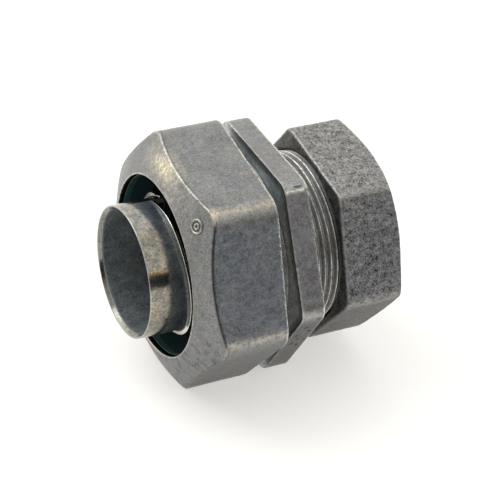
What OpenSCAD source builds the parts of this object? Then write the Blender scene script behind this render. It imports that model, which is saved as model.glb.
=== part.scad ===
// Compression coupling between liquidtight flexible conduit and thin-wall steel tube, 1 inch trade size.
// The common axis is X. The flexible conduit enters from -X and the tube from +X.
// The origin is on the axis, at the stop face at the bottom of the tube socket.

/* [Threads] */
// Pitch of both clamping threads
thread_pitch = 1.27; // [1.0:0.01:1.5]
// Depth of the thread grooves
thread_depth = 0.7; // [0.4:0.05:0.8]
// Diameter over the crests of the conduit-side thread
conduit_thread_d = 37.4; // [37.0:0.1:37.6]
// Diameter over the crests of the tube-side thread
tube_thread_d = 32.6; // [32.4:0.1:32.8]
// Radial gap between a thread crest and the nut around it
thread_gap = 0.2; // [0.15:0.01:0.3]

/* [Body] */
// Width across the flats of the hexagonal flange
flange_af = 41.8; // [41:0.1:43]
// Thickness of the hexagonal flange
flange_w = 4.7; // [4:0.1:5]
// Distance from the tube stop to the flange's conduit side
flange_back = 2.8; // [2.2:0.1:3.0]
// Bore of the throat between the two sockets
throat_d = 25.8; // [24:0.1:26]
// Bore of the tube socket
tube_socket_d = 29.9; // [29.8:0.02:30.0]
// Depth of the tube socket
tube_socket_depth = 12.3; // [11.5:0.1:12.4]
// Bore of the conduit socket
conduit_socket_d = 33.8; // [33.6:0.1:34.0]
// Distance from the tube stop to the conduit socket's bottom
conduit_stop_x = 3.7; // [3.2:0.1:4.5]
// Distance from the tube stop to the end of the conduit-side thread
conduit_thread_x = 10.3; // [10:0.1:10.8]

/* [Conduit nut] */
// Width across the flats
conduit_nut_af = 43.8; // [43:0.1:45]
// Length along the axis
conduit_nut_l = 15.9; // [15:0.1:16]
// Distance from the tube stop to the nut's open face
conduit_nut_x = 21.5; // [21.4:0.1:21.7]
// Bore of the nut's open face
conduit_nut_bore_d = 34.1; // [33.9:0.05:34.4]
// Angle of the nut's flats from the flange's flats
conduit_nut_turn = 7.8; // [0:0.1:60]

/* [Tube nut] */
// Width across the flats
tube_nut_af = 36.2; // [35.6:0.1:37]
// Length along the axis
tube_nut_l = 12; // [11.8:0.1:12.2]
// Distance from the tube stop to the nut's near face
tube_nut_x = 8.5; // [8.4:0.1:9]
// Bore of the nut's lip, where the tube enters
tube_nut_bore_d = 30.2; // [30.0:0.05:30.4]
// Angle of the nut's flats from the flange's flats
tube_nut_turn = 7.2; // [0:0.1:60]

/* [Ferrule] */
// Outer diameter of the sleeve that enters the conduit
sleeve_d = 24.8; // [24.4:0.1:25.2]
// Thickness of the sheet metal
sleeve_wall = 0.85; // [0.6:0.05:1.0]
// Distance that the sleeve stands out of the conduit nut
sleeve_out = 5.9; // [4:0.1:7]
// Outer diameter of the lip
lip_d = 27.8; // [26.5:0.1:30]
// Distance from the nut's open face to the end of the lip
lip_in = 3.3; // [2.4:0.1:3.4]
// Radius of the bend where the lip turns outward from the sleeve
lip_bend = 0.4; // [0.2:0.1:0.8]

/* [Rings] */
// Bore of the conduit sealing ring
seal_bore_d = 33.6; // [33.5:0.05:33.8]
// Width of the split in the clamping ring
split_w = 2.2; // [1.5:0.1:3]
// Bore of the clamping ring and of the gasket
ring_bore_d = 29.85; // [29.8:0.01:29.9]
// Outer diameter of the clamping ring and of the gasket
ring_d = 32.4; // [32.2:0.1:32.5]
// Distance from the tube stop to the clamping ring
clamping_ring_x = 15.3; // [15.2:0.1:15.4]
// Length of the clamping ring
clamping_ring_l = 3.1; // [2.8:0.1:3.1]
// Distance from the tube stop to the gasket
gasket_x = 13.9; // [13.8:0.1:14.0]
// Thickness of the gasket
gasket_w = 1.2; // [1.0:0.1:1.2]

/* [Hidden] */
flange_x = -flange_back;
flange_end = flange_x + flange_w;
conduit_r = conduit_thread_d / 2;
tube_r = tube_thread_d / 2;
nut_face = -conduit_nut_x;
sleeve_r = sleeve_d / 2;
edge = 0.6;
$fn = 96;

// A solid of revolution about the X axis, from points given as [x, radius].
module turned(points) rotate([0, 90, 0]) rotate_extrude()
    polygon([for (p = points) [p[1], p[0]]]);

// A hexagon with round corners, centred on the X axis between two places.
module hex_bar(af, corner_r, x0, x1, turn) {
    centre_r = (af / 2 - corner_r) * 2 / sqrt(3);
    translate([x0, 0, 0]) rotate([turn, 0, 0]) rotate([90, 0, 90]) linear_extrude(x1 - x0)
        polygon([for (k = [0 : 5]) for (a = [-30 : 10 : 30])
            centre_r * [cos(60 * k), sin(60 * k)] + corner_r * [cos(60 * k + a), sin(60 * k + a)]]);
}

// Thread outline from x0 to x1: round the crests at radius r, one groove to each pitch.
function thread(x0, x1, r) = [
    for (k = [0 : floor((x1 - x0) / thread_pitch) - 1])
        for (p = [[0.1, 0], [0.5, thread_depth], [0.9, 0]])
            [x0 + (k + p[0]) * thread_pitch, r - p[1]]
];

// Die-cast body: conduit thread, flange and tube thread around the throat and the two sockets.
module body() color([0.55, 0.56, 0.57]) difference() {
    union() {
        turned(concat(
            [[-conduit_thread_x, throat_d / 2], [-conduit_thread_x, conduit_r - edge]],
            [[-conduit_thread_x + edge, conduit_r]],
            thread(-conduit_thread_x + edge, flange_x - edge, conduit_r),
            [[flange_x + edge, conduit_r], [flange_end - edge, tube_r]],
            thread(flange_end, tube_socket_depth - edge, tube_r),
            [[tube_socket_depth - edge, tube_r], [tube_socket_depth, tube_r - edge]],
            [[tube_socket_depth, throat_d / 2]]
        ));
        hex_bar(flange_af, 3.2, flange_x, flange_end, 0);
    }
    // Conduit socket, throat and tube socket with its flared mouth
    turned([[-conduit_thread_x - 1, 0], [-conduit_thread_x - 1, conduit_socket_d / 2 + 0.5],
        [-conduit_thread_x, conduit_socket_d / 2 + 0.5], [-conduit_thread_x + 0.5, conduit_socket_d / 2],
        [-conduit_stop_x, conduit_socket_d / 2], [-conduit_stop_x, throat_d / 2], [0, throat_d / 2],
        [0, tube_socket_d / 2], [tube_socket_depth - edge, tube_socket_d / 2],
        [tube_socket_depth, tube_socket_d / 2 + edge], [tube_socket_depth + 1, tube_socket_d / 2 + edge],
        [tube_socket_depth + 1, 0]]);
}

// Nut that clamps the flexible conduit. Its open face is a shallow dome.
module conduit_nut() color([0.5, 0.51, 0.52]) {
    bore_r = conduit_nut_bore_d / 2;
    flat_r = conduit_nut_af / 2;
    corner_r = flat_r + 3;
    dome_x = nut_face + 2.04;
    seat_x = nut_face + 6;
    rear = nut_face + conduit_nut_l;
    thread_r = conduit_r + thread_gap;
    difference() {
        intersection() {
            hex_bar(conduit_nut_af, 4.2, nut_face - 1, rear, conduit_nut_turn);
            turned([[nut_face, 0], [nut_face, bore_r + 0.1], [dome_x, flat_r],
                [dome_x + 1.55, corner_r], [rear - edge, corner_r], [rear, corner_r - 1], [rear, 0]]);
        }
        turned([[nut_face - 2, 0], [nut_face - 2, bore_r], [nut_face + 0.5, bore_r],
            [seat_x, thread_r], [rear - edge, thread_r], [rear, thread_r + edge / 2],
            [rear + 1, thread_r + edge / 2], [rear + 1, 0]]);
    }
}

// Plastic wedge ring that the nut squeezes onto the conduit's jacket.
module sealing_ring() color([0.08, 0.2, 0.15]) {
    nose = nut_face + 1.1;
    outer_r = conduit_r - 0.2;
    turned([[nose, seal_bore_d / 2], [nose, outer_r - 1.5], [nose + 4.4, outer_r], [nose + 5.6, outer_r],
        [nose + 6, outer_r - 0.4], [nose + 6, seal_bore_d / 2 + 0.3], [nose + 5.7, seal_bore_d / 2]]);
}

// Plated steel ferrule: a sleeve for the conduit's inside, with a lip turned outward at its inner end.
module ferrule() color([0.62, 0.61, 0.58]) {
    rim = nut_face - sleeve_out;
    lip = nut_face + lip_in;
    outer_bend = lip_bend + sleeve_wall;
    centre = [lip - outer_bend, sleeve_r + lip_bend];
    turned(concat([[rim, sleeve_r - sleeve_wall], [rim, sleeve_r]],
        [for (a = [0 : 22.5 : 90]) centre + lip_bend * [sin(a), -cos(a)]],
        [[lip - sleeve_wall, lip_d / 2], [lip, lip_d / 2]],
        [for (a = [90 : -22.5 : 0]) centre + outer_bend * [sin(a), -cos(a)]]));
}

// Nut that clamps the tube.
module tube_nut() color([0.48, 0.48, 0.48]) {
    near = tube_nut_x;
    far = tube_nut_x + tube_nut_l;
    flat_r = tube_nut_af / 2;
    corner_r = flat_r + 2.6;
    lip_r = tube_nut_bore_d / 2;
    thread_r = tube_r + thread_gap;
    seat_x = far - 3.65;
    difference() {
        intersection() {
            hex_bar(tube_nut_af, 2, near, far, tube_nut_turn);
            turned([[near, 0], [near, corner_r - edge], [near + edge, corner_r],
                [far - 1.3, corner_r], [far, flat_r], [far, 0]]);
        }
        turned([[near - 1, 0], [near - 1, thread_r + 0.3], [near, thread_r + 0.3], [near + 0.3, thread_r],
            [seat_x, thread_r], [far - 1.95, lip_r], [far + 1, lip_r], [far + 1, 0]]);
    }
}

// Split steel ring that bites on the tube when the nut squeezes it.
module clamping_ring() color([0.7, 0.7, 0.66]) {
    bore_r = ring_bore_d / 2;
    outer_r = ring_d / 2;
    far = clamping_ring_x + clamping_ring_l;
    difference() {
        turned([[clamping_ring_x, bore_r], [clamping_ring_x, outer_r - 0.7], [clamping_ring_x + 0.9, outer_r],
            [far - 1.4, outer_r], [far, bore_r + 0.2], [far, bore_r]]);
        translate([clamping_ring_x - 1, -split_w / 2, 0]) cube([clamping_ring_l + 2, split_w, ring_d]);
    }
}

// Flat plastic gasket that keeps rain out of the tube socket.
module gasket() color([0.85, 0.85, 0.82])
    turned([for (p = [[0, ring_bore_d], [0, ring_d], [gasket_w, ring_d], [gasket_w, ring_bore_d]])
        [gasket_x + p[0], p[1] / 2]]);

body();
conduit_nut();
sealing_ring();
ferrule();
tube_nut();
clamping_ring();
gasket();
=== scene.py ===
"""Looks for the conduit compression coupling: cast zinc body and nuts, plated ferrule, plastic rings."""
import math

import bpy
import numpy as np
from mathutils import Matrix, Vector, noise


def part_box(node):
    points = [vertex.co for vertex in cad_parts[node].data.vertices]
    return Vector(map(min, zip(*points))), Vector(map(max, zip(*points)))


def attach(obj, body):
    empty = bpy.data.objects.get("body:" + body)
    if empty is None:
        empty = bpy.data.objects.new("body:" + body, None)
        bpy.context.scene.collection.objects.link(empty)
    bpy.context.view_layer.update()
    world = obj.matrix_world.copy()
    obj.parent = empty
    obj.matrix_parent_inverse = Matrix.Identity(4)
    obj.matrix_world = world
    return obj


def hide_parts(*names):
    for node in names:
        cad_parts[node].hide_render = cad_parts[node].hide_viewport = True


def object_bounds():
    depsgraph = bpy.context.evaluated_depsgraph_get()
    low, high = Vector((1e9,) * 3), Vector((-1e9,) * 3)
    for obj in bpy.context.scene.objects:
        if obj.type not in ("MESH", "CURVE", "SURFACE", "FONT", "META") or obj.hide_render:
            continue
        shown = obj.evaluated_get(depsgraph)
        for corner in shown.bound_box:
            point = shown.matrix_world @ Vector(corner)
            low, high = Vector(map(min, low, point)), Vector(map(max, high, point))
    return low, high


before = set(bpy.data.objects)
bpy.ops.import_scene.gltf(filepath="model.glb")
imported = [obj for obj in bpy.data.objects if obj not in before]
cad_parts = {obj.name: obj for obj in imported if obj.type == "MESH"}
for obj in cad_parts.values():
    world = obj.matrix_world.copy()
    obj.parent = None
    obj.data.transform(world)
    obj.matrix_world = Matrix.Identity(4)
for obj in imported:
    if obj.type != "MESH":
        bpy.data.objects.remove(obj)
cad_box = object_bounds()

MM = 0.001
TURN = 360.0
PITCH = 1.27             # both clamping threads, mm
THREAD_DEPTH = 0.7
FLANGE_AF = 41.8
FLANGE_X = (-2.8, 1.9)
CONDUIT_NUT_AF = 43.8
CONDUIT_NUT_TURN = 7.8
TUBE_NUT_AF = 36.2
TUBE_NUT_TURN = 7.2
THROAT_R = 12.9
SLEEVE_R = 12.4
SLEEVE_WALL = 0.85
SIDE_FACE = 150          # middle of each hexagon's flat toward the camera, in degrees from its turn
LOW_FACE = 210           # middle of the flat below that one


# ---------------------------------------------------------------- camera

def make_camera():
    """The photograph's view: azimuth, elevation and roll in degrees, from 341 mm away."""
    azimuth, elevation, roll = math.radians(-29.634), math.radians(35.229), math.radians(5.864)
    aim = Vector((-5.03, -6.23, 3.86)) * MM
    distance = 341 * MM
    back = Vector((math.sin(azimuth) * math.cos(elevation), -math.cos(azimuth) * math.cos(elevation),
                   math.sin(elevation)))
    level = Vector((math.cos(azimuth), math.sin(azimuth), 0))
    upright = back.cross(level)
    right = level * math.cos(roll) + upright * math.sin(roll)
    up = back.cross(right)
    data = bpy.data.cameras.new("camera")
    data.lens = 134.17
    data.sensor_width = 36
    data.clip_start = 0.01
    camera = bpy.data.objects.new("camera", data)
    camera.matrix_world = Matrix.Translation(aim + back * distance) @ Matrix(
        (right, up, back)).transposed().to_4x4()
    bpy.context.scene.collection.objects.link(camera)
    bpy.context.scene.camera = camera


make_camera()


# ---------------------------------------------------------------- mesh tools
# A profile is a closed loop of (x, radius) points in mm, one loop for each angle about the X axis.

def unit(v):
    """Vectors of length 1 along v."""
    return v / np.maximum(np.linalg.norm(v, axis=-1, keepdims=True), 1e-9)


def hex_radius(theta, af, corner_r, turn):
    """Radius in mm of a hexagon with round corners, at angles in degrees."""
    flat = af / 2
    off = np.abs((theta - turn) % 60 - 30)              # angle from the middle of the flat
    a = np.radians(off)
    centre = (flat - corner_r) / math.cos(math.radians(30))
    d = np.radians(30 - off)
    corner = centre * np.cos(d) + np.sqrt(np.maximum(corner_r ** 2 - (centre * np.sin(d)) ** 2, 0))
    on_flat = flat * np.tan(a) <= (flat - corner_r) * math.tan(math.radians(30))
    return np.where(on_flat, flat / np.cos(a), corner)


def corner_band(theta, turn, width):
    """1 on the hexagon's corners, falling to 0 at width degrees from them."""
    off = np.abs((theta - turn + 30) % 60 - 30)
    return np.clip(1 - off / width, 0, 1)


def loop(theta, corners, bevel_steps=4):
    """Profile loops from corners (x, radius, cut, steps, worn), one loop to each angle. Cut is how far the
    corner's round reaches along its two sides, steps is the number of cells to the next corner, and worn
    marks polished edges."""
    count = len(theta)
    place = [np.stack([np.broadcast_to(np.asarray(c[0], float), (count,)),
                       np.broadcast_to(np.asarray(c[1], float), (count,))], -1) for c in corners]
    starts, ends, out, worn = [], [], [], []
    for k, c in enumerate(corners):
        here, before, after = place[k], place[k - 1], place[(k + 1) % len(corners)]
        cut = np.broadcast_to(np.asarray(c[2], float), (count,))[:, None]
        starts.append(here + unit(before - here) * cut)
        ends.append(here + unit(after - here) * cut)
    for k, c in enumerate(corners):
        here, nxt = place[k], (k + 1) % len(corners)
        if np.max(c[2]) > 0:
            for s in np.linspace(0, 1, bevel_steps + 1):
                out.append(starts[k] * (1 - s) ** 2 + here * 2 * s * (1 - s) + ends[k] * s ** 2)
                worn.append(c[4])
        else:
            out.append(here)
            worn.append(c[4])
        for s in np.arange(1, c[3]) / c[3]:
            out.append(ends[k] * (1 - s) + starts[nxt] * s)
            worn.append(0)
    return np.stack(out, 1), np.array(worn, float)


def grid_normals(points):
    """Normals of a grid that closes on itself both ways."""
    across = np.roll(points, -1, 0) - np.roll(points, 1, 0)
    along = np.roll(points, -1, 1) - np.roll(points, 1, 1)
    return unit(np.cross(along, across))


def speckle(points, size, seed):
    """Smooth noise from -1 to 1 at points in mm, with features of about the size given."""
    flat = points.reshape(-1, 3) / size + seed
    return np.array([noise.noise(p) for p in flat.tolist()]).reshape(points.shape[:-1])


def ring_points(theta, profile):
    """Places in mm of the profile's points, each loop turned to its angle."""
    a = np.radians(theta)[:, None]
    return np.stack([profile[..., 0], profile[..., 1] * np.cos(a), profile[..., 1] * np.sin(a)], -1)


def ring_mesh(name, grids):
    """One mesh of closed rings. Each grid is (points in mm, polish, tint): around the axis, then along the
    profile. Polish, patchy and fuller above 1, stands for wear and in places for a painted highlight; tint
    multiplies the colour and carries stains and painted light and shade."""
    verts, faces, wears, tints = [], [], [], []
    first = 0
    for points, wear_and_highlight, tint in grids:
        around, along = points.shape[:2]
        index = np.arange(around * along).reshape(around, along)
        right = np.roll(index, -1, 0)
        quads = np.stack([index, np.roll(index, -1, 1), np.roll(right, -1, 1), right], -1).reshape(-1, 4)
        place = (points * MM).reshape(-1, 3)
        local = place - place.mean(0)
        a, b, c, d = (local[quads[:, k]] for k in range(4))
        if (np.cross(a, b) * c).sum() + (np.cross(a, c) * d).sum() < 0:
            quads = quads[:, ::-1]
        verts.append(place)
        faces.append(quads + first)
        wears.append(np.broadcast_to(wear_and_highlight, (around, along)).ravel())
        tints.append(np.broadcast_to(tint, (around, along, 3)).reshape(-1, 3))
        first += len(place)
    mesh = bpy.data.meshes.new(name)
    mesh.from_pydata(np.concatenate(verts).tolist(), [], np.concatenate(faces).tolist())
    mesh.shade_smooth()
    layer = mesh.attributes.new("wear_and_highlight", "FLOAT", "POINT")
    layer.data.foreach_set("value", np.concatenate(wears).astype(np.float32))
    layer = mesh.attributes.new("tint", "FLOAT_COLOR", "POINT")
    rgba = np.concatenate([np.concatenate(tints), np.ones((first, 1))], 1)
    layer.data.foreach_set("color", rgba.astype(np.float32).ravel())
    obj = bpy.data.objects.new(name, mesh)
    bpy.context.scene.collection.objects.link(obj)
    return obj


def shade(amount, colour=(0.2, 0.2, 0.2)):
    """Tint that goes from none to the colour as amount goes from 0 to 1."""
    amount = np.clip(np.asarray(amount, float), 0, 1)[..., None]
    return 1 + amount * (np.array(colour) - 1)


def smooth(low, high, v):
    """0 up to low, 1 from high on, with a soft step between."""
    t = np.clip((np.asarray(v, float) - low) / (high - low), 0, 1)
    return t * t * (3 - 2 * t)


def thread_cut(theta, x, depth):
    """Depth in mm of a right-hand thread's groove at each angle and place, 0 on the crest."""
    phase = (x / PITCH - theta / TURN) % 1
    return depth * np.clip((0.5 - np.abs(phase - 0.5)) / 0.36 - 0.12, 0, 1)


def on_face(turn, middle):
    """1 on the flat whose middle is at the angle given, 0 on the others."""
    return 1 - smooth(22, 30, np.abs((turn - middle + 180) % TURN - 180))


def angles(count, *dense):
    """Angles in degrees around the axis, with ten to the degree at the places given."""
    theta = [np.arange(count) * TURN / count]
    theta += [np.arange(low, high, 0.1) for low, high in dense]
    return np.unique(np.round(np.concatenate(theta), 4))


# ---------------------------------------------------------------- materials

class Nodes:
    """Short names for the shader nodes that the materials use."""

    def __init__(self, name):
        self.material = bpy.data.materials.new(name)
        self.material.use_nodes = True
        self.tree = self.material.node_tree
        self.shader = self.tree.nodes["Principled BSDF"]
        self.place = self.add("ShaderNodeTexCoord").outputs["Object"]

    def add(self, kind, **settings):
        node = self.tree.nodes.new(kind)
        for key, value in settings.items():
            setattr(node, key, value)
        return node

    def feed(self, socket, value):
        if isinstance(value, bpy.types.NodeSocket):
            self.tree.links.new(value, socket)
        else:
            socket.default_value = value

    def noise(self, size_mm, detail=2.0, rough=0.5, stretch=(1, 1, 1), offset=0.0):
        mapping = self.add("ShaderNodeMapping")
        self.feed(mapping.inputs["Vector"], self.place)
        mapping.inputs["Scale"].default_value = stretch
        mapping.inputs["Location"].default_value = (offset, offset, offset)
        node = self.add("ShaderNodeTexNoise")
        self.feed(node.inputs["Vector"], mapping.outputs[0])
        node.inputs["Scale"].default_value = 1 / (size_mm * MM)
        node.inputs["Detail"].default_value = detail
        node.inputs["Roughness"].default_value = rough
        return node.outputs[0]

    def cells(self, size_mm):
        node = self.add("ShaderNodeTexVoronoi")
        self.feed(node.inputs["Vector"], self.place)
        node.inputs["Scale"].default_value = 1 / (size_mm * MM)
        return node.outputs["Distance"], node.outputs["Color"]

    def span(self, value, low, high, to_low=0.0, to_high=1.0):
        node = self.add("ShaderNodeMapRange")
        for socket, v in zip(node.inputs, (value, low, high, to_low, to_high)):
            self.feed(socket, v)
        return node.outputs[0]

    def calc(self, operation, a, b=0.0):
        node = self.add("ShaderNodeMath", operation=operation)
        self.feed(node.inputs[0], a)
        self.feed(node.inputs[1], b)
        return node.outputs[0]

    def blend(self, factor, a, b):
        node = self.add("ShaderNodeMix", data_type="RGBA")
        self.feed(node.inputs[0], factor)
        for socket, v in ((node.inputs[6], a), (node.inputs[7], b)):
            self.feed(socket, v if isinstance(v, bpy.types.NodeSocket) else (*v, 1))
        return node.outputs[2]

    def attribute(self, name, output="Fac"):
        return self.add("ShaderNodeAttribute", attribute_name=name).outputs[output]

    def vector(self, operation, a, b):
        node = self.add("ShaderNodeVectorMath", operation=operation)
        self.feed(node.inputs[0], a)
        self.feed(node.inputs["Scale" if operation == "SCALE" else 1], b)
        return node.outputs[0]

    def vary(self, *layers):
        """1, plus each layer's strength times how far its noise is from the middle."""
        total = 1.0
        for value, strength in layers:
            change = self.calc("MULTIPLY", self.calc("SUBTRACT", value, 0.5), strength)
            total = self.calc("ADD", change, total)
        return total

    def paint(self, colour, rough, tinted=True):
        """Set the roughness and the colour, which the mesh's tint multiplies if it has one."""
        if tinted:
            colour = self.vector("MULTIPLY", colour, self.attribute("tint", "Color"))
        self.feed(self.shader.inputs["Base Color"], colour)
        self.feed(self.shader.inputs["Roughness"], rough)

    def bump(self, *layers):
        """Bump from (height, distance in mm, strength) layers."""
        normal = None
        for height, distance, strength in layers:
            node = self.add("ShaderNodeBump")
            node.inputs["Strength"].default_value = strength
            node.inputs["Distance"].default_value = distance * MM
            self.feed(node.inputs["Height"], height)
            if normal is not None:
                self.feed(node.inputs["Normal"], normal)
            normal = node.outputs[0]
        self.feed(self.shader.inputs["Normal"], normal)


def cast_zinc(name, cool, warm, grain, rough, pit_mm, worn=(0.50, 0.48, 0.43)):
    """Die-cast zinc: cloudy grey with fine grain, small pits, and edges rubbed bright; the same polish
    paints highlights where the mesh asks for them. Grain is the strength of (clouds, mottle, fine grain)."""
    n = Nodes(name)
    clouds, mottle, fine = n.noise(5, 3, 0.55), n.noise(1.0, 3, 0.6), n.noise(0.32, 2, 0.6)
    colour = n.blend(n.span(n.noise(2.6, 3, 0.6, offset=3.0), 0.38, 0.62), cool, warm)
    colour = n.vector("SCALE", colour, n.vary((clouds, grain[0]), (mottle, grain[1]), (fine, grain[2])))
    distance, cell = n.cells(pit_mm)
    pit = n.calc("MULTIPLY", n.span(distance, 0.10, 0.05), n.span(cell, 0.66, 0.68))
    colour = n.blend(n.calc("MULTIPLY", pit, 0.7), colour, [c * 0.3 for c in cool])
    # Polish where the mesh asks for it: real wear, and in places a painted highlight
    rub_and_highlight = n.calc("MULTIPLY", n.attribute("wear_and_highlight"), n.span(n.noise(0.8, 3, 0.7, offset=1.0), 0.36, 0.60))
    colour = n.blend(rub_and_highlight, colour, worn)
    uneven = n.calc("ADD", n.span(mottle, 0.3, 0.7, *rough), n.calc("MULTIPLY", rub_and_highlight, -0.14))
    n.paint(colour, uneven)
    n.shader.inputs["Metallic"].default_value = 1.0
    n.bump((clouds, 0.5, 0.12), (mottle, 0.12, grain[1] * 0.5), (fine, 0.05, grain[2] * 0.35),
           (n.calc("MULTIPLY", pit, -1), 0.12, 0.7))
    return n.material


def plated_steel(name, cool, warm, tinted=True):
    """Zinc plate on sheet steel, smudged and stained, with polished edges and a dull lining; the polish
    also paints highlights where the mesh asks for them.
    """
    n = Nodes(name)
    smudge, grain = n.noise(2.6, 4, 0.65), n.noise(0.45, 3, 0.6)
    colour = n.blend(n.span(smudge, 0.42, 0.58), cool, warm)
    colour = n.vector("SCALE", colour, n.vary((smudge, 1.5), (grain, 2.2)))
    distance, cell = n.cells(1.5)
    spot = n.calc("MULTIPLY", n.span(distance, 0.22, 0.08), n.span(cell, 0.70, 0.74))
    colour = n.blend(n.calc("MULTIPLY", spot, 0.6), colour, (0.055, 0.048, 0.040))
    # Polish where the mesh asks for it: real wear, and in places a painted highlight
    rub_and_highlight = n.calc("MULTIPLY", n.attribute("wear_and_highlight"), n.span(grain, 0.30, 0.52, 0.55, 1.0))
    colour = n.blend(rub_and_highlight, colour, (0.42, 0.41, 0.385))
    dull = n.attribute("dull")
    polish = n.span(smudge, 0.3, 0.7, 0.13, 0.21)
    n.paint(colour, n.calc("ADD", polish, n.calc("MULTIPLY", dull, 0.4)), tinted)
    n.feed(n.shader.inputs["Metallic"], n.calc("SUBTRACT", 1.0, dull))
    n.bump((smudge, 0.2, 0.12), (grain, 0.03, 0.25))
    return n.material


def moulded(name, dark, light, roughness):
    """Moulded plastic with a faint cloudy tone."""
    n = Nodes(name)
    n.paint(n.blend(n.noise(1.5, 3), dark, light),
            n.span(n.noise(0.6, 3), 0.3, 0.7, roughness - 0.08, roughness + 0.08))
    n.shader.inputs["Specular IOR Level"].default_value = 0.3
    n.bump((n.noise(0.25, 2), 0.03, 0.3))
    return n.material


BODY_ZINC = cast_zinc("zinc_body", (0.214, 0.218, 0.223), (0.236, 0.231, 0.220), (0.5, 0.8, 1.4),
                      (0.36, 0.48), 2.2, worn=(0.56, 0.55, 0.51))
NUT_ZINC = cast_zinc("zinc_conduit_nut", (0.209, 0.213, 0.218), (0.228, 0.225, 0.215), (0.5, 0.9, 1.5),
                     (0.36, 0.48), 2.6)
TUMBLED_ZINC = cast_zinc("zinc_tube_nut", (0.203, 0.202, 0.20), (0.226, 0.222, 0.212), (0.6, 2.4, 3.4),
                         (0.42, 0.54), 1.5, worn=(0.36, 0.355, 0.34))
STEEL = plated_steel("plated_steel", (0.228, 0.228, 0.226), (0.262, 0.250, 0.222))
RING_STEEL = plated_steel("ring_steel", (0.50, 0.50, 0.48), (0.54, 0.53, 0.50), tinted=False)
GREEN = moulded("green_plastic", (0.022, 0.062, 0.060), (0.032, 0.082, 0.076), 0.40)
WHITE = moulded("white_plastic", (0.72, 0.72, 0.68), (0.80, 0.80, 0.76), 0.45)


def stand_for(obj, node, body, material):
    """obj rides on body, replaces node and shows material."""
    obj.data.materials.clear()
    obj.data.materials.append(material)
    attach(obj, body)
    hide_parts(node)


# ---------------------------------------------------------------- conduit nut

def torus(centre, normal, major, minor):
    """Points of a torus in mm, around its normal and then around its tube."""
    side = unit(np.cross(normal, (0, 0, 1)))
    other = np.cross(normal, side)
    a = np.linspace(0, 2 * math.pi, 40, endpoint=False)[:, None, None]
    b = np.linspace(0, 2 * math.pi, 10, endpoint=False)[None, :, None]
    out = np.cos(a) * side + np.sin(a) * other
    return centre + out * (major + minor * np.cos(b)) + normal * minor * np.sin(b)


def rough_cast(points, where, coarse, fine, seed):
    """Points moved inward by up to coarse and fine, in mm, as lumps of two sizes."""
    lumps = coarse * (1 + speckle(points, 3.2, seed)) + fine * (1 + speckle(points, 0.8, seed + 7))
    return points + grid_normals(points) * (where * lumps / 2)[..., None]


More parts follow.
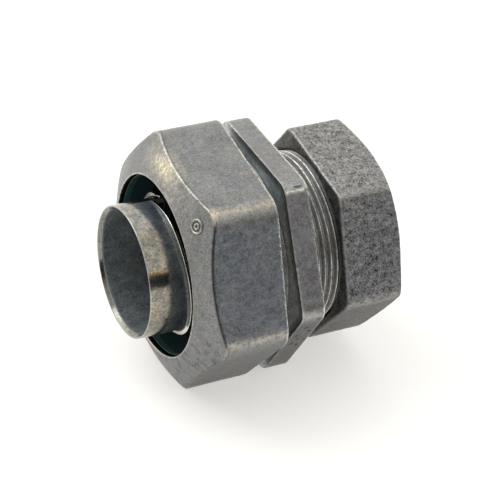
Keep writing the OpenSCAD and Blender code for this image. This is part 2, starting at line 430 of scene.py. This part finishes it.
def conduit_nut():
    """The large nut, threaded inside, with a dome around its open face and a plain mark on the dome."""
    theta = angles(900)
    low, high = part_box("conduit_nut")
    face, rear = low.x / MM, high.x / MM
    hexagon = hex_radius(theta, CONDUIT_NUT_AF, 4.2, CONDUIT_NUT_TURN)
    bore, crest, groove = 17.05, 18.25, 0.62
    reach = hexagon - bore
    rise, curve = 0.33, 0.0188

    def dome(depth):
        return face + rise * depth + curve * depth ** 2

    steps = 16
    corners = [(face + 0.5, bore, 0.1, 2, 0), (face, bore, 0.25, 1, 1)]
    corners += [(dome(reach * k / steps), bore + reach * k / steps, 0, 1, 0) for k in range(1, steps)]
    corners += [
        (dome(reach), hexagon, 0.2, 60, 0.6),
        (rear, hexagon, 0.3, 8, 1.6),
        (rear, 19.5, 0.2, 2, 0.2),
        (rear - 0.9, crest, 0, 120, 0),
        (face + 6.6, crest, 0, 2, 0),
        (face + 5.9, 18.8, 0.2, 14, 0),
    ]
    profile, worn = loop(theta, corners)
    x, r = profile[..., 0], profile[..., 1]
    threaded = (r <= crest + 0.01) & (x > face + 6)
    turn = theta[:, None]
    profile[..., 1] = r + np.where(threaded, thread_cut(turn + TURN / 2, x, groove), 0)
    outer = np.clip((r - 19.6) / 1.0, 0, 1)
    points = rough_cast(ring_points(theta, profile), outer, 0.05, 0.03, 3)

    # Edges and corners rubbed bright, the corners with a warm painted highlight, and a painted highlight
    # patch, polished too, on the dome's upper side
    behind_edge = x - dome(reach)[:, None]
    flank = (r > (hexagon - 0.3)[:, None]) & (x > face + 0.5)
    corner = np.where(turn < 150, corner_band(turn, CONDUIT_NUT_TURN - 1.8, 3.6),
                      0.8 * corner_band(turn, CONDUIT_NUT_TURN - 3.6, 3.6))
    corner = corner * smooth(-0.1, 0.4, behind_edge) * outer
    # Painted highlight where the top flat's lower corner meets the dome
    vertex = np.exp(-((turn - 125.5) / 3) ** 2 - (behind_edge / 1.2) ** 2) * flank
    from_side = np.abs((turn - (CONDUIT_NUT_TURN + SIDE_FACE) + 180) % TURN - 180)
    creased = smooth(1, 4, 30 - from_side)
    front_edge = flank * np.exp(-(behind_edge / 0.3) ** 2)
    highlight_patch = np.exp(-((turn - 86) / 13) ** 2 - ((r - 20.4) / 1.7) ** 2) * (x < face + 4)
    wear_and_highlight = np.maximum(worn[None, :] * (1 - 0.9 * front_edge * creased), 0.85 * corner)
    wear_and_highlight = np.maximum(wear_and_highlight, 0.9 * highlight_patch)

    # Painted shade in a line behind the front edge, in the bore, on the rear face and on two flats; painted
    # highlights on the rear edge and in flecks on the dome; stains low on the dome, and the dome a little
    # darker overall
    line = np.exp(-((behind_edge - 0.36) / 0.15) ** 2) * (0.45 - 0.45 * creased)
    line += np.exp(-((behind_edge - 0.14) / 0.28) ** 2) * 0.95 * creased
    crease_shade = flank * line * (1 - corner)
    # Painted shade inside the nut
    inside = (r < 19.2) & (x > dome(r - bore) + 0.3)
    # Painted shade on the flat toward the camera and, darker, on the flat below it
    side = flank * on_face(turn, CONDUIT_NUT_TURN + SIDE_FACE)
    shaded_low_side = flank * on_face(turn, CONDUIT_NUT_TURN + LOW_FACE)
    # Painted highlight along the rear edge of the flat toward the camera; painted shade on the rear face
    rear_edge_highlight = np.exp(-((x - rear) / 0.3) ** 2) * side
    rear_face = (x > rear - 0.05) & (r < 21)
    on_dome = (x < dome(reach)[:, None]) & (r > bore + 0.3)
    stain = on_dome * smooth(0.05, 0.45, speckle(points, 1.3, 11)) * smooth(150, 215, turn)
    # Painted highlight flecks on the dome's upper side
    highlight_fleck = on_dome * smooth(0.15, 0.45, speckle(points, 0.55, 41)) * smooth(60, 75, turn)
    highlight_fleck = highlight_fleck * (1 - smooth(105, 130, turn))
    tint = (shade(crease_shade, (0.22, 0.17, 0.16)) * shade(inside, (0.18, 0.21, 0.23))
            * shade(rear_face, (0.5, 0.5, 0.5)) * shade(highlight_patch, (1.35, 1.28, 1.05))
            * shade(side, (0.86, 0.92, 1.02)) * shade(shaded_low_side, (0.48, 0.48, 0.48))
            * shade(corner, (1.12, 1.05, 0.95)) * shade(vertex, (1.7, 1.62, 1.4))
            * shade(on_dome, (0.92, 0.925, 0.93)) * shade(stain, (0.62, 0.61, 0.60))
            * shade(highlight_fleck, (1.45, 1.40, 1.28))
            * shade(rear_edge_highlight, (1.4, 1.42, 1.42)))

    # Two rings stand on the dome, sunk a little, with painted shade in a spot around them
    at, depth, sunk = math.radians(127.2), 4.08, 0.06
    out = np.array((0, math.cos(at), math.sin(at)))
    normal = unit((rise + 2 * curve * depth) * out - np.array((1, 0, 0)))
    centre = np.array((dome(depth), 0, 0)) + out * (bore + depth) - normal * sunk
    from_mark = np.linalg.norm(points - centre, axis=-1)
    tint = tint * shade(0.75 * (from_mark < 1.5) * (x < dome(reach)[:, None]), (0.35, 0.35, 0.36))
    rings = ((1.2, 0.24), (0.48, 0.2))
    marks = [(torus(centre, normal, major, minor), 0.6, 1.05) for major, minor in rings]
    obj = ring_mesh("conduit_nut_visual", [(points, wear_and_highlight, tint)] + marks)
    stand_for(obj, "conduit_nut", "conduit_nut_part", NUT_ZINC)


# ---------------------------------------------------------------- body

def body():
    """Conduit thread, hexagonal flange and tube thread, around the throat and the two sockets."""
    theta = angles(720, (118, 125), (298, 305))
    low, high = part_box("body")
    conduit_end, tube_end = low.x / MM, high.x / MM
    hexagon = hex_radius(theta, FLANGE_AF, 3.2, 0)
    crest_a, crest_b = 18.7, 16.3
    x0, x1 = FLANGE_X
    relief = x0 - 1.1                        # where the conduit thread runs out
    root_a = crest_a - 0.8
    socket_a, socket_b = 16.9, 14.95
    conduit_stop = -3.7
    corners = [
        (conduit_end, 17.3, 0.15, 2, 0),
        (conduit_end, crest_a - 0.6, 0, 2, 0),
        (conduit_end + 0.6, crest_a, 0, 110, 0),
        (relief - 0.02, crest_a, 0, 1, 0),
        (relief, root_a, 0, 8, 0),
        (x0, root_a, 0.25, 14, 0),
        (x0, hexagon, 0.28, 26, 0.8),
        (x1, hexagon, 0.32, 14, 2),
        (x1, crest_b, 0.1, 150, 0),
        (tube_end - 0.6, crest_b, 0, 2, 0),
        (tube_end, crest_b - 0.6, 0.1, 2, 0),
        (tube_end, 15.4, 0.1, 2, 0),
        (tube_end - 0.6, socket_b, 0, 20, 0),
        (0, socket_b, 0.1, 4, 0),
        (0, THROAT_R, 0.2, 8, 0),
        (conduit_stop, THROAT_R, 0.2, 8, 0),
        (conduit_stop, socket_a, 0.2, 14, 0),
    ]
    profile, worn = loop(theta, corners)
    x, r = profile[..., 0].copy(), profile[..., 1].copy()
    on_a = np.abs(r - crest_a) < 0.01
    on_b = np.abs(r - crest_b) < 0.01
    fade_b = np.clip((tube_end - 0.6 - x) / 0.4, 0, 1) * np.clip((x - x1) / 0.3, 0, 1)
    turn = theta[:, None]
    cut = np.where(on_a & (x < relief), 1, 0) + np.where(on_b & (x > x1), fade_b, 0)
    cut = cut * thread_cut(turn, x, THREAD_DEPTH)
    profile[..., 1] -= cut

    # The casting's parting line crosses the flange as a ridge with a slot beside it, on opposite corners
    ridge_height, slot_depth, pit_depth = 0.12, 0.22, 0.2
    flank = r > (hexagon - 0.4)[:, None]
    slot_shade = 0
    for seam in (122.0, 302.0):
        ridge = np.exp(-((turn - seam) / 0.28) ** 2) * np.clip((1.5 - x) / 0.4, 0, 1)
        profile[..., 1] += flank * ridge_height * ridge
        slot = np.exp(-((turn - seam + 1.5) / 0.4) ** 2 - ((x - 0.1) / 0.85) ** 4)
        profile[..., 1] -= flank * slot_depth * slot
        slot_shade = np.maximum(slot_shade, slot)

    # Pits in the flange's low side, as (angle, x, size)
    pits = 0
    for at, place, size in ((198.5, -1.5, 0.35), (203, -0.7, 0.28), (209, -1.3, 0.45), (212, 0.2, 0.3),
                            (195, 0.6, 0.3), (190, -0.6, 0.4), (183, 0.8, 0.35), (206, 1.0, 0.25)):
        reach = np.radians(turn - at) * 22
        pits = pits + flank * np.exp(-(reach ** 2 + (x - place) ** 2) / size ** 2)
    profile[..., 1] -= pit_depth * pits

    outer = np.clip((r - 19.2) / 0.8, 0, 1)
    points = rough_cast(ring_points(theta, profile), outer, 0.05, 0.03, 21)

    # Thread crests, the flange's edges and the parting line are rubbed bright; the parting line also gets a
    # painted highlight
    rubbed = 1 - 0.8 * smooth(64, 76, turn) * (1 - smooth(130, 150, turn)) * (x < 0)
    wear_and_highlight = np.maximum(worn[None, :] * rubbed, 0.4 * corner_band(theta, 0, 5)[:, None] * outer)
    crest = np.where(on_a | on_b, 1 - np.clip(cut / 0.2, 0, 1), 0)
    wear_and_highlight = np.maximum(wear_and_highlight, crest)
    seam_line = flank * np.exp(-((turn - 122.3) / 0.45) ** 2) * (x < 1.2)
    wear_and_highlight = np.maximum(wear_and_highlight, 1.8 * seam_line)

    # Painted shade in the thread roots, bores and slot and on the low side, the pits darker, a painted
    # reflection on the face toward the nut, painted light on the tube thread and a painted highlight on the
    # far edge, and a painted blue reflection on the side toward the camera
    side, shaded_low_side = flank * on_face(turn, SIDE_FACE), flank * on_face(turn, LOW_FACE)
    far_edge_highlight = np.exp(-((x - x1) / 0.3) ** 2) * side
    back = (np.abs(x - x0) < 0.05) & (r < (hexagon - 0.6)[:, None])
    inside = (r < 17.4) & ((x < 0) | (r < 15.4))
    depth = hexagon[:, None] - r
    # Painted reflection on the face toward the nut
    back_reflection = back * smooth(1.0, 1.9, depth) * smooth(50, 70, turn) * (1 - 0.45 * smooth(112, 126, turn))
    tint = (shade(on_b & (x > x1), (1.6, 1.6, 1.6)) * shade(0.5 * cut / THREAD_DEPTH)
            * shade(back, (1.35, 1.47, 1.6)) * shade(0.6 * pits) * shade(seam_line, (1.5, 1.5, 1.4))
            * shade(back * smooth(118, 135, turn), (1.45, 1.4, 1.35)) * shade(far_edge_highlight, (1.5, 1.5, 1.5))
            * shade(back_reflection, (2.3, 2.3, 2.2)) * shade(side, (1.0, 1.02, 1.10))
            * shade(shaded_low_side, (0.50, 0.50, 0.50)) * shade(0.6 * flank * slot_shade)
            * shade(inside, (0.12, 0.12, 0.12)))
    obj = ring_mesh("body_visual", [(points, wear_and_highlight, tint)])
    stand_for(obj, "body", "fitting_body", BODY_ZINC)


# ---------------------------------------------------------------- tube nut

def tube_nut():
    """The small nut, threaded inside, with a lip that the tube passes and a bevel on its outer end."""
    theta = angles(900)
    low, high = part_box("tube_nut")
    near, far = low.x / MM, high.x / MM
    hexagon = hex_radius(theta, TUBE_NUT_AF, 2.0, TUBE_NUT_TURN)
    flat = TUBE_NUT_AF / 2
    crest, lip, groove = 15.85, 15.1, 0.62
    # The bevel is cut less on the low corners
    bevel = 0.5 - 0.25 * smooth(150, 180, theta) * (1 - smooth(255, 280, theta))
    corners = [
        (near, 16.8, 0.1, 10, 0.2),
        (near, hexagon, 0.5, 56, 0.6),
        (far - bevel * (hexagon - flat), hexagon, 0.3, 7, 0.8),
        (far, flat - 0.6, 0.1, 8, 0.3),
        (far, lip, 0.25, 6, 0.4),
        (far - 1.95, lip, 0, 6, 0),
        (far - 3.65, 16.5, 0.1, 3, 0),
        (far - 4.1, crest, 0, 90, 0),
        (near + 0.6, crest, 0, 2, 0),
    ]
    profile, worn = loop(theta, corners)
    x, r = profile[..., 0], profile[..., 1].copy()
    turn = theta[:, None]
    threaded = np.abs(r - crest) < 0.01
    profile[..., 1] += np.where(threaded, thread_cut(turn + TURN / 2, x, groove), 0)
    outer = np.clip((r - 16.9) / 0.8, 0, 1)
    points = rough_cast(ring_points(theta, profile), outer, 0.09, 0.07, 31)
    wear_and_highlight = np.maximum(worn[None, :], 0.35 * corner_band(turn, TUBE_NUT_TURN, 6) * outer)
    # Painted shade on the near face, in the bore, and on the flats toward the camera and below it
    front = (x < near + 0.02) & (r < (hexagon - 0.5)[:, None])
    tint = (shade(0.6 * front) * shade((r < 16.6) & (x < far - 1), (0.15, 0.15, 0.15))
            * shade(on_face(turn, TUBE_NUT_TURN + SIDE_FACE) * outer, (0.86, 0.90, 0.95))
            * shade(on_face(turn, TUBE_NUT_TURN + LOW_FACE) * outer, (0.48, 0.475, 0.47)))
    obj = ring_mesh("tube_nut_visual", [(points, wear_and_highlight, tint)])
    stand_for(obj, "tube_nut", "tube_nut_part", TUMBLED_ZINC)


# ---------------------------------------------------------------- ferrule

def ferrule():
    """A rolled sleeve with a lip turned out square. The lip starts near the nut's face and runs back to the
    sleeve's inner end, as the start of a screw thread does, so that the sleeve screws into the conduit."""
    start = 70                                  # angle where the lip begins and ends
    along = np.linspace(0, TURN - 0.05, 720)
    theta = start + along
    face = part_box("conduit_nut")[0].x / MM
    rim, end = (corner.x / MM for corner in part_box("ferrule"))
    sheet = 0.55                                # thickness of the lip
    front, deep = face + 0.38, end - sheet      # where the lip begins and where it runs back to
    lip_x = front + (deep - front) * smooth(40, 190, along)
    height = 0.35 * smooth(0, 8, along) + 1.1 * smooth(5, 50, along) - 0.35 * smooth(80, 130, along)
    height = height * (1 - smooth(335, 358, along))
    soft = smooth(0, 30, along)
    corners = [
        (rim + 0.75, SLEEVE_R - SLEEVE_WALL, 0, 4, 1),
        (rim, SLEEVE_R - 0.25, 0.1, 1, 1),
        (rim, SLEEVE_R, 0.12, 60, 1),
        (lip_x, SLEEVE_R, 0.45 * soft, 3, 0),
        (lip_x, SLEEVE_R + height, 0.12 * soft, 1, 1),
        (lip_x + sheet, SLEEVE_R + height, 0.12 * soft, 2, 0),
        (lip_x + sheet, SLEEVE_R - SLEEVE_WALL, 0.1, 24, 0),
    ]
    profile, worn = loop(theta, corners)
    x, r = profile[..., 0], profile[..., 1]
    turn = theta[:, None]

    # Regions: dull lining, bevelled mouth, lip, the lip's two cut ends, and a painted dark reflection
    # beside the lip
    lining = (r < SLEEVE_R - SLEEVE_WALL + 0.01) & (x > rim + 0.7)
    mouth = (r < SLEEVE_R - 0.2) & ~lining & (x < rim + 0.95)
    lip = smooth(SLEEVE_R + 0.15, SLEEVE_R + 0.4, r)
    cut_end = ((along < 0.3) | (along > 359.6))[:, None] & (x > face + 0.2)
    outside = (r > SLEEVE_R - 0.05) & (lip < 0.5) & (x > rim + 0.3)
    reflection_from = face + np.interp(turn, (75, 98, 118, 139, 165), (-3.2, -2.7, -1.7, -1.9, -2.1))
    smudge = outside * smooth(reflection_from - 0.4, reflection_from + 0.5, x) * (turn < 260)
    warm = outside * smooth(100, 118, turn) * (1 - smooth(225, 245, turn))
    behind_lip = (lip > 0.5) & (x > lip_x[:, None] + 0.2)

    # The edges are polished, and the lip's front is polished and given a painted highlight, except on the
    # far side, which gets painted shade instead
    wear_and_highlight = np.maximum(worn * (1 - 0.3 * (x < rim + 0.3)), 0.25 * mouth)
    wear_and_highlight = np.maximum(wear_and_highlight, 0.8 * lip)
    far_side = lip * smooth(245, 265, turn)
    wear_and_highlight = wear_and_highlight * (1 - far_side)
    # Painted shade on the lining, the mouth, the cut ends and behind the lip, and a painted dark reflection
    # beside the lip
    tint = (shade(lining, (0.40, 0.47, 0.53)) * shade(mouth, (0.72, 0.74, 0.70))
            * shade(smudge, (0.29, 0.36, 0.46)) * shade(warm, (1.08, 1.02, 0.90))
            * shade(behind_lip, (0.35, 0.35, 0.35))
            * shade(lip * smooth(90, 115, turn) * (1 - far_side), (1.9, 1.88, 1.8))
            * shade(cut_end, (0.03, 0.03, 0.03))
            * shade(far_side * (1 - 0.7 * smooth(400, 414, turn)), (0.15, 0.155, 0.155)))
    obj = ring_mesh("ferrule_visual", [(ring_points(theta, profile), wear_and_highlight, tint)])
    layer = obj.data.attributes.new("dull", "FLOAT", "POINT")
    dull = np.maximum(np.maximum(lining, cut_end), 0.5 * smudge)
    layer.data.foreach_set("value", dull.astype(np.float32).ravel())
    stand_for(obj, "ferrule", "ferrule_part", STEEL)


# ---------------------------------------------------------------- rings

def plain_ring(name, node, body_name, material, corners, shaded_beyond=None):
    """A smooth ring, with painted shade beyond a place along the axis if one is given."""
    theta = angles(360)
    profile, _ = loop(theta, corners)
    tint = 1 if shaded_beyond is None else shade(profile[..., 0] > shaded_beyond, (0.60, 0.50, 0.60))
    obj = ring_mesh(name, [(ring_points(theta, profile), 0, tint)])
    stand_for(obj, node, body_name, material)


def sealing_ring():
    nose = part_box("sealing_ring")[0].x / MM
    bore, outer = 16.8, 18.5
    corners = [
        (nose, bore, 0.08, 1, 0),
        (nose, bore + 0.2, 0.08, 10, 0),
        (nose + 4.4, outer, 0.2, 3, 0),
        (nose + 5.6, outer, 0.1, 2, 0),
        (nose + 6, outer - 0.4, 0.1, 4, 0),
        (nose + 6, bore + 0.3, 0.1, 2, 0),
        (nose + 5.7, bore, 0, 10, 0),
        (nose + 1.6, bore + 0.1, 0.1, 2, 0),
        (nose + 1.2, bore, 0.1, 4, 0),
    ]
    plain_ring("sealing_ring_visual", "sealing_ring", "conduit_seal", GREEN, corners,
               shaded_beyond=nose + 1.3)


def gasket():
    low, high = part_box("gasket")
    x0, x1, outer = low.x / MM, high.x / MM, high.y / MM
    bore = 14.93
    corners = [
        (x0, bore, 0.15, 3, 0),
        (x0, outer, 0.2, 3, 0),
        (x1, outer, 0.2, 3, 0),
        (x1, bore, 0.15, 3, 0),
    ]
    plain_ring("gasket_visual", "gasket", "tube_rings", WHITE, corners)


conduit_nut()
body()
tube_nut()
ferrule()
sealing_ring()
gasket()
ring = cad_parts["clamping_ring"]
ring.data.materials.clear()
ring.data.materials.append(RING_STEEL)


# ---------------------------------------------------------------- stage

def make_stage():
    """A pale floor under the object, which glows enough to come out white with a faint shadow."""
    floor_z = cad_box[0][2]
    mesh = bpy.data.meshes.new("floor")
    size = 3.0
    mesh.from_pydata([(-size, -size, floor_z), (size, -size, floor_z), (size, size, floor_z),
                      (-size, size, floor_z)], [], [(0, 1, 2, 3)])
    floor = bpy.data.objects.new("floor", mesh)
    bpy.context.scene.collection.objects.link(floor)
    material = bpy.data.materials.new("floor")
    material.use_nodes = True
    shader = material.node_tree.nodes["Principled BSDF"]
    shader.inputs["Base Color"].default_value = (0.58, 0.575, 0.56, 1)
    shader.inputs["Emission Color"].default_value = (1.0, 0.995, 0.97, 1)
    shader.inputs["Emission Strength"].default_value = 0.47
    shader.inputs["Roughness"].default_value = 0.9
    shader.inputs["Specular IOR Level"].default_value = 0.0
    mesh.materials.append(material)


def area_light(name, place, size, power, colour=(1, 1, 1)):
    """A square light that faces the object."""
    data = bpy.data.lights.new(name, "AREA")
    data.size = size
    data.energy = power
    data.color = colour
    light = bpy.data.objects.new(name, data)
    light.location = place
    light.rotation_euler = (-Vector(place)).to_track_quat("-Z", "Y").to_euler()
    bpy.context.scene.collection.objects.link(light)


def make_world():
    """Pale studio walls and ceiling, brightest behind and to the left. Low in front of the object the room
    is unlit: a dark blue band, with a golden edge where the light begins above it."""
    world = bpy.data.worlds.new("world")
    bpy.context.scene.world = world
    world.use_nodes = True
    tree = world.node_tree
    background = tree.nodes["Background"]
    direction = tree.nodes.new("ShaderNodeTexCoord").outputs["Generated"]
    split = tree.nodes.new("ShaderNodeSeparateXYZ")
    tree.links.new(direction, split.inputs[0])

    def span(value, low, high, to_low, to_high):
        node = tree.nodes.new("ShaderNodeMapRange")
        node.interpolation_type = "SMOOTHSTEP"
        tree.links.new(value, node.inputs[0])
        for k, v in enumerate((low, high, to_low, to_high)):
            node.inputs[k + 1].default_value = v
        return node.outputs[0]

    def calc(operation, a, b):
        node = tree.nodes.new("ShaderNodeMath")
        node.operation = operation
        tree.links.new(a, node.inputs[0])
        tree.links.new(b, node.inputs[1])
        return node.outputs[0]

    def toward(x, y, z):
        node = tree.nodes.new("ShaderNodeVectorMath")
        node.operation = "DOT_PRODUCT"
        tree.links.new(direction, node.inputs[0])
        node.inputs[1].default_value = Vector((x, y, z)).normalized()
        return node.outputs["Value"]

    lit = calc("MAXIMUM", span(split.outputs["Y"], -0.35, 0.1, 0.0, 1.0),
               span(split.outputs["Z"], 0.36, 0.42, 0.0, 1.0))
    walls = calc("MULTIPLY", span(split.outputs["Y"], -0.2, 0.7, 1.1, 1.35),
                 span(split.outputs["X"], -0.95, -0.6, 0.55, 1.0))
    window = span(toward(-0.66, 0.74, 0.12), 0.90, 0.99, 0.0, 1.0)
    level = calc("MULTIPLY", calc("ADD", walls, window), lit)
    tree.links.new(calc("ADD", level, span(lit, 0, 1, 0.05, 0.0)), background.inputs["Strength"])

    def mix(factor, start, end):
        node = tree.nodes.new("ShaderNodeMix")
        node.data_type = "RGBA"
        tree.links.new(factor, node.inputs[0])
        for socket, colour in ((node.inputs[6], start), (node.inputs[7], end)):
            if isinstance(colour, tuple):
                socket.default_value = (*colour, 1)
            else:
                tree.links.new(colour, socket)
        return node.outputs[2]

    front = span(split.outputs["Y"], -0.35, 0.1, 1.0, 0.0)
    edge = calc("MULTIPLY", span(split.outputs["Z"], 0.34, 0.38, 0.0, 1.0),
                span(split.outputs["Z"], 0.40, 0.46, 1.0, 0.0))
    hue = mix(span(split.outputs["Z"], 0.35, 0.7, 0.0, 1.0), (1.04, 1.0, 0.935), (0.99, 1.0, 0.985))
    hue = mix(lit, (0.75, 0.95, 1.3), hue)
    hue = mix(calc("MULTIPLY", front, edge), hue, (1.3, 0.92, 0.5))
    tree.links.new(hue, background.inputs["Color"])


make_stage()
make_world()
area_light("key", (-0.5, 0.5, 0.8), 0.7, 4.5)
bpy.context.scene.view_settings.view_transform = "Standard"
